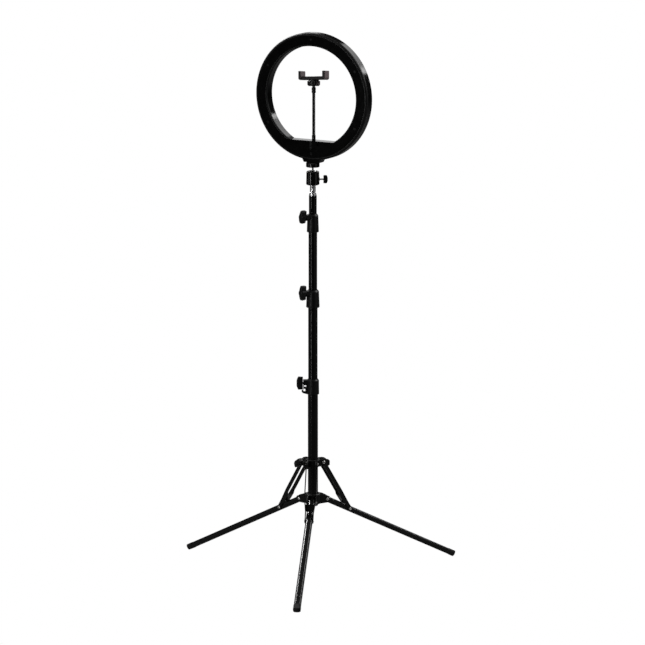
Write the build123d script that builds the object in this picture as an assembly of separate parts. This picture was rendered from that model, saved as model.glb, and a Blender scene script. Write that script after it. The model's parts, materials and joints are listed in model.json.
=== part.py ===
from build123d import *
import os
from math import atan2, cos, degrees, hypot, pi, radians, sin, sqrt

# A 26 cm LED ring light on a reverse-folding stand. Millimetres, +Z up. The origin is on the
# column's axis at floor level. The lit side of the ring faces -Y.

# ---- fits
SLIDE_GAP = 0.3  # between a tube and the lip that guides it
RUN_GAP = 0.1  # round a turning screw or rivet
SHEET_GAP = 0.4  # between flat cheeks that swing past each other

# ---- column tubes: outer radius, wall
BASE_R, BASE_WALL = 10.4, 0.6
LOWER_R, LOWER_WALL = 9.6, 0.6
MIDDLE_R, MIDDLE_WALL = 8.8, 0.6
TOP_R, TOP_WALL = 8.0, 0.8
BASE_FOOT_Z = 144.0
LOWER_FOOT_Z = 310.0
MIDDLE_FOOT_Z = 470.0
TOP_FOOT_Z = 526.0
TOP_TUBE_TOP_Z = 790.6
GLIDE_HEIGHT = 15.0

# ---- clamp collars: foot, top, radius at foot, radius at top, azimuth and height of the knob,
# and the distance of the boss's end from the column axis
BASE_COLLAR = (377.0, 409.0, 12.8, 12.5, 29.4, 400.0, 20.0)
LOWER_COLLAR = (559.0, 595.0, 13.8, 12.6, 72.0, 592.0, 21.4)
UPPER_COLLAR = (715.5, 752.6, 12.3, 11.2, 72.0, 749.5, 21.4)
LIP_BELOW_KNOB = 5.0
BOSS_HALF_WIDTH = 5.6
SCREW_R = 2.5

# ---- wing knobs
KNOB_GAP = 0.6  # between a boss and its knob
KNOB_LENGTH = 13.0
BASE_KNOB, LOWER_KNOB, UPPER_KNOB = (13.4, 0.0), (15.2, -3.0), (13.5, -9.0)  # half height, turn
KNOB_HALF_WIDTH = 4.6
KNOB_HUB_R = 6.2

# ---- legs and spiders
LEG_AZIMUTHS = {"a": 113.6, "b": 233.6, "c": 353.6}
LEG_PIVOT_R, LEG_PIVOT_Z = 28.5, 154.0
FOOT_R, FOOT_Z = 320.0, 7.3
LEG_WIDTH, LEG_TOP, LEG_BOTTOM, LEG_WALL = 14.0, 5.5, -6.1, 1.2
LEG_TOP_ROUND = 4.6
STRUT_ON_LEG = 59.0
STRUT_TOP_R, STRUT_TOP_Z = 19.5, 233.5
STRUT_THICK = 1.5
STRUT_HALF = 3.9  # half the strut's width seen from the side
RIVET_R, RIVET_HEAD_R, RIVET_HEAD, RIVET_EYE_R = 2.0, 3.1, 1.0, 1.1
CHEEK_INNER, CHEEK_OUTER = LEG_WIDTH / 2 + SHEET_GAP, 10.4
ARM_INNER_LOW = LEG_WIDTH / 2 + SHEET_GAP
ARM_INNER_TOP = CHEEK_OUTER + SHEET_GAP
LOWER_HUB = (146.0, 168.0, 16.0)
UPPER_HUB = (225.0, 239.8, 15.0)
SPIDER_KNOB_AZIMUTH, SPIDER_KNOB_Z, SPIDER_KNOB_TURN = 53.6, 234.6, -52.0
SPIDER_KNOB_HALF = 13.5
SPIDER_BOSS_R, SPIDER_BOSS_END_R = 4.8, 26.6

# ---- ball head
STUD_TOP_Z = 812.7
STUD_THREAD_R, STUD_THREAD_TOP_Z = 3.1, 819.5
HOUSING_Z, HOUSING_TOP_Z = 813.0, 841.4
HOUSING_FOOT_R, HOUSING_TOP_R = 13.6, 13.0
BALL_Z, BALL_R = 833.0, 8.0
CUP_Z, CUP_R, CUP_MOUTH_R = 838.2, 6.9, 9.6
NECK_R = 1.7
PLATFORM_Z, PLATFORM_TOP_Z, PLATFORM_R = 849.8, 858.2, 13.8
PAD_TOP_Z = 859.2
CAMERA_SCREW_R = 3.1
BALL_KNOB_AZIMUTH, BALL_KNOB_Z, BALL_KNOB_FACE_R = 209.4, 824.4, 21.6
BALL_KNOB_LENGTH, BALL_KNOB_HALF, BALL_KNOB_HALF_WIDTH, BALL_KNOB_HUB_R = 8.8, 8.3, 3.6, 3.8
BALL_SCREW_R = 1.6

# ---- ring
RING_Y, RING_Z, RING_R, OPENING_R = 4.1, 994.2, 130.0, 103.0
RING_REAR_Y, RING_FRONT_Y = 4.0, -18.0  # these and the ring's other y values count from RING_Y
OUTER_WALL, INNER_WALL, FLOOR = 2.2, 2.0, 2.2
SILL_DROP = 90.0  # from the ring's centre down to the straight edge of the opening
SILL_WALL = 2.0
BOARD_Y, BOARD_THICK = -6.0, 1.6
LIGHT_ROW_RADII, LIGHTS_PER_ROW = (111.0, 121.5), 30
POST_R_FROM_AXIS, POSTS = 116.4, 6
PEDESTAL_Z = 859.5
PEDESTAL_Y = (-17.4, 2.9)
PEDESTAL_HALF_TOP, PEDESTAL_HALF_FOOT = 21.5, 18.0
INSERT_R, INSERT_TOP_Z = 5.0, 866.0
SOCKET_X, SOCKET_R = -16.0, 4.4

# ---- phone holder
NECK_Y = -4.0  # the gooseneck's axis
FERRULE_LOW_R, FERRULE_TOP_R = 3.8, 4.3
GOOSE_R, GOOSE_GAP = 3.2, 0.6
GOOSE_FOOT_Z, GOOSE_TOP_Z = 915.0, 1001.0
FERRULE_END_Z = 1012.4
HOLDER_BALL_Z, HOLDER_BALL_R, HOLDER_STEM_R = 1020.9, 6.0, 3.0
LOCK_NUT_Z, LOCK_NUT_TOP_Z, LOCK_NUT_R = 1015.2, 1025.4, 13.1
SLEEVE_Z, SLEEVE_TOP_Z = 1027.4, 1034.6
SLEEVE_HALF_DEPTH = 7.0
JAW_END_X, JAW_THICK = 30.65, 5.2
JAW_TOP_Z, JAW_HALF_DEPTH = 1045.7, 10.0
JAW_PAD = 1.0
JAW_STOP, CROSSBAR_X = 2.0, 14.5
HOLDER_TILT, HOLDER_TILT_AZIMUTH = 9.5, 29.4  # the clamp leans on its ball, about this direction

LOW = (Align.CENTER, Align.CENTER, Align.MIN)


# ---------------------------------------------------------------- shared shapes
def rod(radius, z_low, z_high):
    """A round bar along the column's axis."""
    return Pos(0, 0, z_low) * Cylinder(radius, z_high - z_low, align=LOW)


def rod_x(radius, x_low, x_high):
    """A round bar along X."""
    return Pos(x_low, 0, 0) * Rot(0, 90, 0) * Cylinder(radius, x_high - x_low, align=LOW)


def rod_y(radius, y_low, y_high):
    """A round bar along Y."""
    return Pos(0, y_low, 0) * Rot(-90, 0, 0) * Cylinder(radius, y_high - y_low, align=LOW)


def block(x, y, z):
    """A box from three (low, high) pairs."""
    size = [high - low for low, high in (x, y, z)]
    middle = [(high + low) / 2 for low, high in (x, y, z)]
    return Pos(*middle) * Box(*size)


def turned(points):
    """A solid turned about Z from (radius, height) points."""
    outline = Polyline(*[(r, 0, z) for r, z in points], close=True)
    return revolve(make_face(outline), Axis.Z)


def plate(points, y_low, y_high):
    """A plate with an (x, z) outline, between two y values."""
    outline = Polyline(*[(x, y_low, z) for x, z in points], close=True)
    return extrude(make_face(outline), amount=y_high - y_low, dir=(0, 1, 0))


def plan(points, z_low, z_high):
    """A plate with an (x, y) outline, between two z values."""
    outline = Polyline(*[(x, y, z_low) for x, y in points], close=True)
    return extrude(make_face(outline), amount=z_high - z_low, dir=(0, 0, 1))


def tube(radius, wall, z_low, z_high):
    return rod(radius, z_low, z_high) - rod(radius - wall, z_low, z_high)


def hollow_rivet(y_inner, y_outer):
    """A rivet end: its shank from y_inner to y_outer, and a domed head with an eye beyond that."""
    crown = rod_y(RIVET_HEAD_R, y_outer, y_outer + RIVET_HEAD)
    crown = chamfer(crown.edges().group_by(Axis.Y)[-1], 0.5)
    eye = rod_y(RIVET_EYE_R, y_outer - 1, y_outer + RIVET_HEAD)
    return rod_y(RIVET_R, y_inner, y_outer) + crown - eye


def mirrored_pair(shape):
    """The shape and its mirror image across the plane y = 0."""
    return [shape, mirror(shape, Plane.XZ)]


# ---------------------------------------------------------------- column
def bored_tube_foot(radius, wall, z_low):
    """The glide bush in the foot of a sliding tube: a plug with a rim a little wider than the tube."""
    rim = tube(radius + 0.1, 2.4, z_low - 3, z_low)
    return rim + tube(radius - wall, 1.6, z_low, z_low + GLIDE_HEIGHT)


def base_plug():
    cap = rod(BASE_R, BASE_FOOT_Z - 2, BASE_FOOT_Z)
    return cap + rod(BASE_R - BASE_WALL, BASE_FOOT_Z, BASE_FOOT_Z + 5)


def tube_top_z(collar_dims):
    """The clamped tube ends below the knob, so that the knob's screw reaches the tube inside."""
    return collar_dims[5] - LIP_BELOW_KNOB


def collar(dims, tube_r, slide_r):
    foot, top, foot_r, top_r, azimuth, knob_z, boss_end = dims
    shell = turned([(0, foot), (foot_r - 0.8, foot), (foot_r, foot + 0.8), (top_r, top - 3),
                    (top_r - 2, top), (0, top)])
    boss_top = min(top, knob_z + 7)
    boss = block((0, boss_end), (-BOSS_HALF_WIDTH, BOSS_HALF_WIDTH), (knob_z - 8.6, boss_top))
    boss = chamfer(boss.edges().filter_by(Axis.X).group_by(Axis.Z)[0], 3)
    screw_hole = Pos(0, 0, knob_z) * rod_x(SCREW_R + RUN_GAP, 0, boss_end + 1)
    body = Rot(0, 0, azimuth) * (shell + boss - screw_hole)
    body = body - rod(tube_r, foot - 1, tube_top_z(dims))
    return body - rod(slide_r + SLIDE_GAP, foot, top + 1)


def collar_loop():
    """The moulded loop under the base collar's boss, which reaches out below the knob's wings."""
    foot, azimuth, knob_z, boss_end = BASE_COLLAR[0], *BASE_COLLAR[4:]
    rib = plate([(12, knob_z - 7), (boss_end, knob_z - 7), (boss_end, knob_z - 14.2),
                 (23.2, knob_z - 15), (23.2, knob_z - 18), (20.6, knob_z - 20.8), (12, foot)], -2.4, 2.4)
    window = plate([(15.4, knob_z - 17.2), (15.8, knob_z - 11.8), (19.2, knob_z - 11.8),
                    (19.8, knob_z - 17.2)], -3, 3)
    return Rot(0, 0, azimuth) * (rib - window)


def base_collar():
    foot, azimuth, knob_z = BASE_COLLAR[0], BASE_COLLAR[4], BASE_COLLAR[5]
    body = collar(BASE_COLLAR, BASE_R, LOWER_R) + collar_loop() - rod(BASE_R, foot - 1, tube_top_z(BASE_COLLAR))
    window = block((13.8, 18.4), (-10, 10), (knob_z - 8.0, knob_z - 3.8))
    return body - Rot(0, 0, azimuth) * window


# ---------------------------------------------------------------- knobs
def wing_knob(length, half_height, half_width, hub_r, screw_r, screw_length):
    """A wing knob with its metal screw. Its inner face is at x = 0 and the screw runs to -X."""
    shoulder, inner, outer = 0.74 * length, 0.97 * half_height, 0.42 * half_height
    wings = plate([(0, -inner), (shoulder, -half_height), (length, -outer), (length, outer),
                   (shoulder, half_height), (0, inner)], -half_width, half_width)
    wings = fillet(wings.edges().filter_by(Axis.Y), 1.0)
    wings = chamfer(wings.faces().sort_by(Axis.Y)[0].edges(), 0.6)
    wings = chamfer(wings.faces().sort_by(Axis.Y)[-1].edges(), 0.6)
    hub = rod_x(hub_r, 0, length * 0.9)
    hub = fillet(hub.edges().group_by(Axis.X)[-1], 1.5)
    screw = rod_x(screw_r, -screw_length, 0)
    return wings + hub, screw


def placed_knob(azimuth, z, face_r, tip_r, half_height, turn):
    """A full-size wing knob on the column, its screw reaching in to tip_r."""
    knob, screw = wing_knob(KNOB_LENGTH, half_height, KNOB_HALF_WIDTH, KNOB_HUB_R,
                            SCREW_R, face_r - tip_r)
    place = Rot(0, 0, azimuth) * Pos(face_r, 0, z) * Rot(turn, 0, 0)
    return place * knob, place * screw


# ---------------------------------------------------------------- legs
LEG_SLOPE = degrees(atan2(LEG_PIVOT_Z - FOOT_Z, FOOT_R - LEG_PIVOT_R))
LEG_LENGTH = hypot(LEG_PIVOT_Z - FOOT_Z, FOOT_R - LEG_PIVOT_R)
STRUT_FOOT_R = LEG_PIVOT_R + STRUT_ON_LEG * cos(radians(LEG_SLOPE))
STRUT_FOOT_Z = LEG_PIVOT_Z - STRUT_ON_LEG * sin(radians(LEG_SLOPE))
STRUT_LENGTH = hypot(STRUT_FOOT_R - STRUT_TOP_R, STRUT_TOP_Z - STRUT_FOOT_Z)
STRUT_RISE = degrees(atan2(STRUT_TOP_Z - STRUT_FOOT_Z, STRUT_FOOT_R - STRUT_TOP_R))


def on_leg(shape):
    """From the leg's own frame, pivot at the origin and the leg along +X, to azimuth 0."""
    return Pos(LEG_PIVOT_R, 0, LEG_PIVOT_Z) * Rot(0, LEG_SLOPE, 0) * shape


def on_strut(shape):
    """From the strut's own frame, lower pivot at the origin and the strut along +X. Its +Z side
    faces the column and the floor."""
    return Pos(STRUT_FOOT_R, 0, STRUT_FOOT_Z) * Rot(0, -(180 - STRUT_RISE), 0) * shape


def leg_section(grow, x_low, x_high, top_round):
    """A bar along X with the leg's round-topped outline, grown or shrunk all round."""
    half = LEG_WIDTH / 2 + grow
    height = LEG_TOP - LEG_BOTTOM + 2 * grow
    bar = block((x_low, x_high), (-half, half), (LEG_TOP + grow - height, LEG_TOP + grow))
    return fillet(bar.edges().filter_by(Axis.X).group_by(Axis.Z)[-1], top_round)


def leg():
    outer = leg_section(0, -LEG_TOP, LEG_LENGTH - 8, LEG_TOP_ROUND)
    inner = leg_section(-LEG_WALL, -LEG_TOP - 1, LEG_LENGTH, LEG_TOP_ROUND - LEG_WALL)
    below = block((-LEG_TOP - 1, LEG_LENGTH), (-LEG_WIDTH / 2 + LEG_WALL, LEG_WIDTH / 2 - LEG_WALL),
                  (LEG_BOTTOM - 1, 0))
    nose = rod_y(LEG_TOP, -10, 10) + block((0, LEG_LENGTH + 20), (-10, 10), (-10, 10))
    pivot_hole = rod_y(RIVET_R + RUN_GAP, -10, 10)
    return on_leg((outer - inner - below) & nose) - on_leg(pivot_hole) \
        - on_leg(Pos(STRUT_ON_LEG, 0, 0) * pivot_hole)


def foot_cap():
    """A rubber nose with a tongue inside the channel, worn flat where it stands on the floor."""
    nose = leg_section(0.4, LEG_LENGTH - 8, LEG_LENGTH + 9, LEG_TOP_ROUND)
    nose = nose & (Pos(LEG_LENGTH - 4.5, 0, 0) * Sphere(11.6))
    tongue = leg_section(-LEG_WALL, LEG_LENGTH - 24, LEG_LENGTH - 7, LEG_TOP_ROUND - LEG_WALL)
    below_floor = block((0, 400), (-20, 20), (-20, 0))
    return on_leg(nose + tongue) - below_floor


def strut():
    """One bent strip: two arms that part towards the top, joined by a bridge near the leg."""
    reach = STRUT_LENGTH + 4.6
    low, high, thick = ARM_INNER_LOW, ARM_INNER_TOP, STRUT_THICK
    arm = plan([(-4.6, low), (20, low), (48, high), (reach, high), (reach, high + thick),
                (47.6, high + thick), (19.6, low + thick), (-4.6, low + thick)], -12, 12)
    eye_low = rod_y(4.6, -15, 15)
    eye_top = Pos(STRUT_LENGTH, 0, 0) * eye_low
    side = plate([(0, -STRUT_HALF), (STRUT_LENGTH, -STRUT_HALF), (STRUT_LENGTH, STRUT_HALF),
                  (44, STRUT_HALF), (38, 5.9), (20, 5.9), (14, STRUT_HALF), (0, STRUT_HALF)],
                 -15, 15)
    side = side + eye_low + eye_top
    holes = rod_y(RIVET_R, -15, 15)
    holes = holes + Pos(STRUT_LENGTH, 0, 0) * holes
    arm = (arm & side) - holes
    bridge = plan([(21.8, -low - 0.6), (37, -low - 2.4), (37, low + 2.4), (21.8, low + 0.6)],
                  4.4, 5.9)
    return on_strut(arm + mirror(arm, Plane.XZ) + bridge)


def strut_rivets():
    """The rivet through the leg, and a short rivet in each arm's top eye."""
    outside = ARM_INNER_LOW + STRUT_THICK
    end = hollow_rivet(0, outside)
    through = end + mirror(end, Plane.XZ)
    stub = hollow_rivet(ARM_INNER_TOP, ARM_INNER_TOP + STRUT_THICK)
    stubs = [Pos(STRUT_LENGTH, 0, 0) * part for part in mirrored_pair(stub)]
    return [on_strut(part) for part in [through] + stubs]


def leg_pivot_rivets():
    end = hollow_rivet(0, CHEEK_OUTER)
    rivet = Pos(LEG_PIVOT_R, 0, LEG_PIVOT_Z) * (end + mirror(end, Plane.XZ))
    return [Rot(0, 0, azimuth) * rivet for azimuth in LEG_AZIMUTHS.values()]


# ---------------------------------------------------------------- spiders
def lower_spider():
    foot, top, radius = LOWER_HUB
    hub = turned([(0, foot), (radius - 1, foot), (radius, foot + 1), (radius, top - 2),
                  (radius - 2, top), (0, top)])
    cheek = plate([(9, foot), (LEG_PIVOT_R - 2, foot + 0.8), (LEG_PIVOT_R, LEG_PIVOT_Z - 7),
                   (LEG_PIVOT_R + 1, LEG_PIVOT_Z + 7), (LEG_PIVOT_R - 2.5, LEG_PIVOT_Z + 9.3),
                   (16, top - 1.8), (9, top - 1.8)], CHEEK_INNER, CHEEK_OUTER)
    eye = Pos(LEG_PIVOT_R, 0, LEG_PIVOT_Z) * rod_y(7.0, CHEEK_INNER, CHEEK_OUTER)
    hole = Pos(LEG_PIVOT_R, 0, LEG_PIVOT_Z) * rod_y(RIVET_R, CHEEK_INNER - 1, CHEEK_OUTER + 1)
    cheek = cheek + eye - hole
    for azimuth in LEG_AZIMUTHS.values():
        for side in mirrored_pair(cheek):
            hub = hub + Rot(0, 0, azimuth) * side
    return hub - rod(BASE_R, foot - 1, top + 1)


def upper_spider():
    foot, top, radius = UPPER_HUB
    hub = turned([(0, foot), (radius - 1, foot), (radius, foot + 1), (radius, top - 1),
                  (radius - 1, top), (0, top)])
    cheek = plate([(9, foot), (31.5, foot), (33.5, foot + 2), (33.5, top - 4.4), (30.5, top - 1.6),
                   (25, top), (9, top)], CHEEK_INNER, CHEEK_OUTER)
    for azimuth in LEG_AZIMUTHS.values():
        for side in mirrored_pair(cheek):
            hub = hub + Rot(0, 0, azimuth) * side
    bore = rod_x(SCREW_R + RUN_GAP, 0, 30)
    place = Rot(0, 0, SPIDER_KNOB_AZIMUTH) * Pos(0, 0, SPIDER_KNOB_Z)
    hub = hub + place * rod_x(SPIDER_BOSS_R, 5, SPIDER_BOSS_END_R) - place * bore
    return hub - rod(BASE_R + SLIDE_GAP, foot - 1, top + 1)


# ---------------------------------------------------------------- ball head
def stud():
    """The bright spigot: a cone on the tube's rim, a grooved neck, and a thread for the ball head."""
    seat = TOP_TUBE_TOP_Z
    return turned([(0, seat - 18), (TOP_R - TOP_WALL, seat - 18), (TOP_R - TOP_WALL, seat),
                   (TOP_R - 0.2, seat), (TOP_R - 0.4, seat + 1.5), (6.3, seat + 6.5),
                   (5.4, seat + 7.2), (5.4, seat + 8.0), (5.9, seat + 8.4),
                   (5.9, STUD_TOP_Z - 4), (5.4, STUD_TOP_Z - 3.6), (5.4, STUD_TOP_Z - 3.0),
                   (5.9, STUD_TOP_Z - 2.6), (5.9, STUD_TOP_Z), (STUD_THREAD_R, STUD_TOP_Z),
                   (STUD_THREAD_R, STUD_THREAD_TOP_Z), (0, STUD_THREAD_TOP_Z)])


def ball_housing():
    body = turned([(0, HOUSING_Z), (HOUSING_FOOT_R - 1.6, HOUSING_Z),
                   (HOUSING_FOOT_R, HOUSING_Z + 1.6), (HOUSING_TOP_R, HOUSING_TOP_Z - 1.8),
                   (HOUSING_TOP_R - 1.8, HOUSING_TOP_Z), (0, HOUSING_TOP_Z)])
    cavity_r = BALL_R + SLIDE_GAP
    cavity = rod(cavity_r, BALL_Z - 6, BALL_Z) + Pos(0, 0, BALL_Z) * Sphere(cavity_r)
    mouth = turned([(0, CUP_Z), (CUP_R, CUP_Z), (CUP_MOUTH_R, HOUSING_TOP_Z + 0.01),
                    (0, HOUSING_TOP_Z + 0.01)])
    thread = rod(STUD_THREAD_R + RUN_GAP, HOUSING_Z - 1, HOUSING_Z + 8)
    slot_half = NECK_R + 0.6
    slot = block((-slot_half, slot_half), (-20, 0), (BALL_Z, HOUSING_TOP_Z + 1))
    slot = slot + Pos(0, 0, BALL_Z) * rod_y(slot_half, -20, 0)
    screw_hole = rod_x(BALL_SCREW_R + RUN_GAP, 0, 20)
    place = Rot(0, 0, BALL_KNOB_AZIMUTH) * Pos(0, 0, BALL_KNOB_Z)
    flat = place * rod_x(3.6, 0, HOUSING_FOOT_R + 0.5)
    return (body + flat) - cavity - mouth - thread - slot - place * screw_hole


def ball_platform():
    """The ball, its neck and the platform disc, turned in one piece."""
    disc = turned([(0, PLATFORM_Z), (PLATFORM_R - 0.8, PLATFORM_Z),
                   (PLATFORM_R, PLATFORM_Z + 0.8), (PLATFORM_R, PLATFORM_TOP_Z - 0.8),
                   (PLATFORM_R - 0.8, PLATFORM_TOP_Z), (0, PLATFORM_TOP_Z)])
    body = Pos(0, 0, BALL_Z) * Sphere(BALL_R) + rod(NECK_R, BALL_Z, PLATFORM_Z + 1) + disc
    return body - rod(CAMERA_SCREW_R, PLATFORM_Z + 2, PLATFORM_TOP_Z + 1)


def platform_pad():
    return rod(PLATFORM_R - 0.8, PLATFORM_TOP_Z, PAD_TOP_Z) \
        - rod(CAMERA_SCREW_R, PLATFORM_TOP_Z - 1, PAD_TOP_Z + 1)


def camera_screw():
    return rod(CAMERA_SCREW_R, PLATFORM_Z + 2, INSERT_TOP_Z - 0.6)


# ---------------------------------------------------------------- ring
def in_ring(shape):
    """From a frame centred on the ring to the object's frame."""
    return Pos(0, RING_Y, RING_Z) * shape


def ring_band(r_low, r_high, y_low, y_high, rear_outer, rear_inner, front):
    """A band round the ring's axis with rounded edges."""
    section = Pos((r_low + r_high) / 2, (y_low + y_high) / 2) \
        * Rectangle(r_high - r_low, y_high - y_low)
    corners = section.vertices().group_by(Axis.Y)
    rear, fore = corners[-1].sort_by(Axis.X), corners[0]
    section = fillet(rear[-1], rear_outer)
    rear = section.vertices().group_by(Axis.Y)[-1].sort_by(Axis.X)
    section = fillet(rear[0], rear_inner)
    if front:
        section = fillet(section.vertices().group_by(Axis.Y)[0], front)
    return revolve(section, Axis.Y)


def disc_y(radius, y_low, y_high):
    return rod_y(radius, y_low, y_high)


def below(z, y_low, y_high):
    """Everything in the ring's frame below a level."""
    return block((-150, 150), (y_low, y_high), (-150, z))


def around_ring(radius, count, first, shape):
    """Copies of a shape made on the ring's axis, set on a circle round it."""
    places = [radians(first + 360 * n / count) for n in range(count)]
    return [Pos(radius * cos(a), 0, radius * sin(a)) * shape for a in places]


def pedestal():
    top, foot = -122.0, PEDESTAL_Z - RING_Z
    body = plate([(-PEDESTAL_HALF_FOOT, foot), (PEDESTAL_HALF_FOOT, foot),
                  (PEDESTAL_HALF_TOP, foot + 6.5), (PEDESTAL_HALF_TOP, top),
                  (-PEDESTAL_HALF_TOP, top), (-PEDESTAL_HALF_TOP, foot + 6.5)], *PEDESTAL_Y)
    return chamfer(body.faces().sort_by(Axis.Y)[-1].edges(), 1.5)


def ring_housing():
    body = ring_band(OPENING_R, RING_R, RING_FRONT_Y, RING_REAR_Y, 5, 3, 0.9)
    segment = disc_y(OPENING_R + 3.5, RING_FRONT_Y + 0.2, RING_REAR_Y) \
        & below(-SILL_DROP, RING_FRONT_Y, RING_REAR_Y)
    rib = Pos(0, RING_REAR_Y - 3.2, -SILL_DROP - 16) * Cylinder(5, 15, align=LOW)
    body = body + segment + pedestal() + rib
    floor_y = RING_REAR_Y - FLOOR
    channel = ring_band(OPENING_R + INNER_WALL, RING_R - OUTER_WALL, RING_FRONT_Y - 1, floor_y,
                        3, 1.5, 0)
    pocket = disc_y(OPENING_R, RING_FRONT_Y - 1, floor_y) \
        & below(-SILL_DROP - SILL_WALL, RING_FRONT_Y - 1, floor_y)
    neck_y = NECK_Y - RING_Y
    socket = Pos(0, neck_y, -OPENING_R) * Cylinder(6.3, OPENING_R - SILL_DROP - 1, align=LOW)
    body = body - channel - (pocket - socket)
    for post in around_ring(POST_R_FROM_AXIS, POSTS, 30, rod_y(4, BOARD_Y + BOARD_THICK, floor_y)):
        body = body + post
    for hole in around_ring(POST_R_FROM_AXIS, POSTS, 30,
                            rod_y(1.5, BOARD_Y, RING_REAR_Y) + rod_y(2.8, 2.4, RING_REAR_Y)):
        body = body - hole
    body = body - Pos(0, neck_y, -OPENING_R + 1) * Cylinder(FERRULE_LOW_R, 20, align=LOW)
    body = body - Pos(0, -RING_Y, PEDESTAL_Z - RING_Z) \
        * Cylinder(INSERT_R, INSERT_TOP_Z - PEDESTAL_Z, align=LOW)
    body = body - socket_place() * rod_y(SOCKET_R, floor_y - 1, RING_REAR_Y + 1)
    return in_ring(body)


def diffuser():
    """The milky annular window, with a boss for each housing screw."""
    front, back = RING_FRONT_Y + 0.8, RING_FRONT_Y + 2.8
    body = disc_y(RING_R - OUTER_WALL - 0.2, front, back) \
        - disc_y(OPENING_R + INNER_WALL + 0.2, front, back)
    body = chamfer(body.faces().sort_by(Axis.Y)[0].edges(), 0.6)
    for boss in around_ring(POST_R_FROM_AXIS, POSTS, 30,
                            rod_y(3, back, BOARD_Y) - rod_y(1.5, -11.5, BOARD_Y)):
        body = body + boss
    return in_ring(body)


def sill_cover():
    front, back = RING_FRONT_Y + 0.8, RING_FRONT_Y + 2.8
    plate_body = disc_y(OPENING_R - 0.2, front, back) \
        & below(-SILL_DROP - SILL_WALL - 0.2, front, back)
    return in_ring(plate_body)


def light_board():
    body = disc_y(RING_R - OUTER_WALL - 2.5, BOARD_Y, BOARD_Y + BOARD_THICK) \
        - disc_y(OPENING_R + INNER_WALL + 1.5, BOARD_Y, BOARD_Y + BOARD_THICK)
    for hole in around_ring(POST_R_FROM_AXIS, POSTS, 30, rod_y(1.6, BOARD_Y - 1, BOARD_Y + 3)):
        body = body - hole
    return in_ring(body)


def lights():
    """Light-emitting diodes in two rows on the board."""
    chips = []
    for radius in LIGHT_ROW_RADII:
        for n in range(LIGHTS_PER_ROW):
            turn = 360 * n / LIGHTS_PER_ROW
            chip = block((radius - 1.4, radius + 1.4), (BOARD_Y - 0.8, BOARD_Y), (-1.4, 1.4))
            chips.append(in_ring(Rot(0, turn, 0) * chip))
    return chips


def housing_screws():
    head = rod_y(2.7, 2.4, 3.7) - block((-2.0, 2.0), (3.1, 4), (-0.4, 0.4)) \
        - block((-0.4, 0.4), (3.1, 4), (-2.0, 2.0))
    screw = head + rod_y(1.5, -11, 2.4)
    return [in_ring(part) for part in around_ring(POST_R_FROM_AXIS, POSTS, 30, screw)]


def mount_insert():
    return rod(INSERT_R, PEDESTAL_Z, INSERT_TOP_Z) \
        - rod(CAMERA_SCREW_R + RUN_GAP, PEDESTAL_Z - 1, INSERT_TOP_Z + 1)


def socket_place():
    return Pos(SOCKET_X, 0, -SILL_DROP - 7)


def power_socket():
    """A round jack for a 5.5 mm barrel plug, flush with the rear face."""
    body = rod_y(SOCKET_R, -8, RING_REAR_Y) - rod_y(2.8, -5, RING_REAR_Y + 1)
    return in_ring(socket_place() * (body + rod_y(0.9, -5, 2)))


# ---------------------------------------------------------------- gooseneck and phone holder
def on_neck(shape):
    return Pos(0, NECK_Y, 0) * shape


def goose_joint_z(n):
    """Height of the n-th bending point, counted from 1 at the bottom."""
    return GOOSE_FOOT_Z + n * (GOOSE_TOP_Z - GOOSE_FOOT_Z) / 4


def goose_link(z_low, z_high):
    """A length of the flexible neck with a domed top and bottom."""
    body = rod(GOOSE_R, z_low + GOOSE_R, z_high - GOOSE_R)
    return body + Pos(0, 0, z_low + GOOSE_R) * Sphere(GOOSE_R) \
        + Pos(0, 0, z_high - GOOSE_R) * Sphere(GOOSE_R)


def gooseneck_root():
    ferrule = rod(FERRULE_LOW_R, RING_Z - OPENING_R + 1, GOOSE_FOOT_Z)
    ferrule = chamfer(ferrule.edges().group_by(Axis.Z)[-1], 0.5)
    return on_neck(ferrule + goose_link(GOOSE_FOOT_Z - 8, goose_joint_z(1) - GOOSE_GAP / 2))


def gooseneck_link(n):
    return on_neck(goose_link(goose_joint_z(n) + GOOSE_GAP / 2,
                              goose_joint_z(n + 1) - GOOSE_GAP / 2))


def gooseneck_tip():
    ferrule = rod(FERRULE_TOP_R, GOOSE_TOP_Z, FERRULE_END_Z)
    ferrule = chamfer(ferrule.edges(), 0.5)
    link = goose_link(goose_joint_z(3) + GOOSE_GAP / 2, GOOSE_TOP_Z + 6)
    stem_bore = rod(HOLDER_STEM_R + RUN_GAP, GOOSE_TOP_Z + 3, FERRULE_END_Z + 1)
    return on_neck(ferrule + link - stem_bore)


def holder_ball():
    """The ball under the phone holder; its stem turns in the upper ferrule."""
    return on_neck(Pos(0, 0, HOLDER_BALL_Z) * Sphere(HOLDER_BALL_R)
                   + rod(HOLDER_STEM_R, GOOSE_TOP_Z + 3.2, HOLDER_BALL_Z))


def leaning(shape):
    """The clamp as it stands, leaning on the ball of its neck."""
    angle = radians(HOLDER_TILT_AZIMUTH)
    axis = Axis((0, NECK_Y, HOLDER_BALL_Z), (cos(angle), sin(angle), 0))
    return on_neck(shape).rotate(axis, HOLDER_TILT)


def lock_nut():
    """A fluted nut round the ball socket, tapered underneath."""
    body = rod(LOCK_NUT_R, LOCK_NUT_Z, LOCK_NUT_TOP_Z)
    body = chamfer(body.edges().group_by(Axis.Z)[-1], 0.8)
    body = chamfer(body.edges().group_by(Axis.Z)[0], 2.6)
    for n in range(12):
        flute = Rot(0, 0, 30 * n) * Pos(LOCK_NUT_R + 1.6, 0, 0) * rod(2.4, LOCK_NUT_Z, LOCK_NUT_TOP_Z)
        body = body - flute
    body = body - rod(9.6, LOCK_NUT_Z + 1.3, LOCK_NUT_TOP_Z + 1)
    return leaning(body - rod(6.2, LOCK_NUT_Z - 1, LOCK_NUT_Z + 2))


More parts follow.
